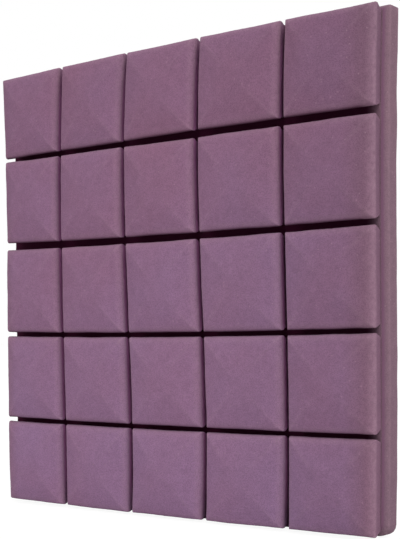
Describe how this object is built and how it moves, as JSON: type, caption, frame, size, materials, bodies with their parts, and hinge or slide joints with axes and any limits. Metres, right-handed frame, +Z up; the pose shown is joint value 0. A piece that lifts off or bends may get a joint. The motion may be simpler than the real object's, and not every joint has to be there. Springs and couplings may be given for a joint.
{
  "type": "acoustic foam panel",
  "caption": "Square acoustic foam tile with a grid of undercut, crowned foam blocks between narrow slots, and a flat back that is glued to a wall.",
  "frame": {"origin": "centre of the flat back, on the wall", "axes": "+Y out of the back into the wall, so the front looks along -Y; +Z up the wall; +X to the right for someone facing the front"},
  "size_m": [0.5, 0.05, 0.5],
  "materials": {
    "foam": "matt open-cell foam"
  },
  "bodies": {
    "root": {"base_slab": "foam", "block_row1_column1": "foam", "block_row1_column2": "foam", "block_row1_column3": "foam", "block_row1_column4": "foam", "block_row1_column5": "foam", "block_row2_column1": "foam", "block_row2_column2": "foam", "block_row2_column3": "foam", "block_row2_column4": "foam", "block_row2_column5": "foam", "block_row3_column1": "foam", "block_row3_column2": "foam", "block_row3_column3": "foam", "block_row3_column4": "foam", "block_row3_column5": "foam", "block_row4_column1": "foam", "block_row4_column2": "foam", "block_row4_column3": "foam", "block_row4_column4": "foam", "block_row4_column5": "foam", "block_row5_column1": "foam", "block_row5_column2": "foam", "block_row5_column3": "foam", "block_row5_column4": "foam", "block_row5_column5": "foam"}
  },
  "joints": []
}
